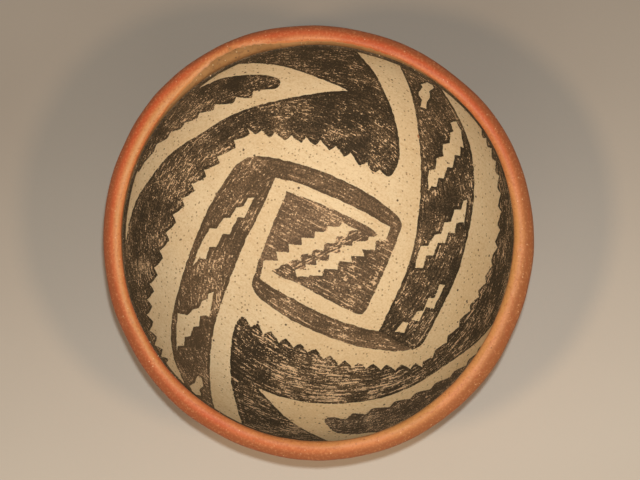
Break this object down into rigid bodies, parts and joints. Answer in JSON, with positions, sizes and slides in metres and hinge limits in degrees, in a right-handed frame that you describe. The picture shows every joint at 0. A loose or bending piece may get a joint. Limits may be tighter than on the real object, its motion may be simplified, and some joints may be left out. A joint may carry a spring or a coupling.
{
  "type": "pottery bowl",
  "caption": "Hand-built, coil-made pottery bowl with a rounded lip, a burnished red outside and a cream inside painted with a black interlocking design of serrated wings and stepped lightning.",
  "frame": {"origin": "middle of the worn flat that the bowl stands on", "axes": "+Z up through the mouth; +X to the right and +Y up when the bowl is seen from above as in the picture"},
  "size_m": [0.17, 0.17, 0.08],
  "materials": {
    "clay": "scraped, matte",
    "red_slip": "burnished",
    "cream_slip": "polished, matte",
    "black_paint": "brushed, matte"
  },
  "bodies": {
    "root": {"base_pat": "clay", "wall_coil_1": "clay", "wall_coil_2": "clay", "wall_coil_3": "clay", "wall_coil_4": "clay", "wall_coil_5": "clay", "wall_coil_6": "clay", "rim_coil": "clay", "red_outer_slip": "red_slip", "white_inner_slip": "cream_slip", "rim_line": "black_paint", "north_bar": "black_paint", "south_bar": "black_paint", "west_lightning_band": "black_paint", "east_lightning_band": "black_paint", "northwest_step_panel": "black_paint", "southeast_step_panel": "black_paint", "centre_zigzag": "black_paint", "north_serrated_wing": "black_paint", "south_serrated_wing": "black_paint", "northwest_rim_field": "black_paint", "southeast_rim_field": "black_paint"}
  },
  "joints": []
}
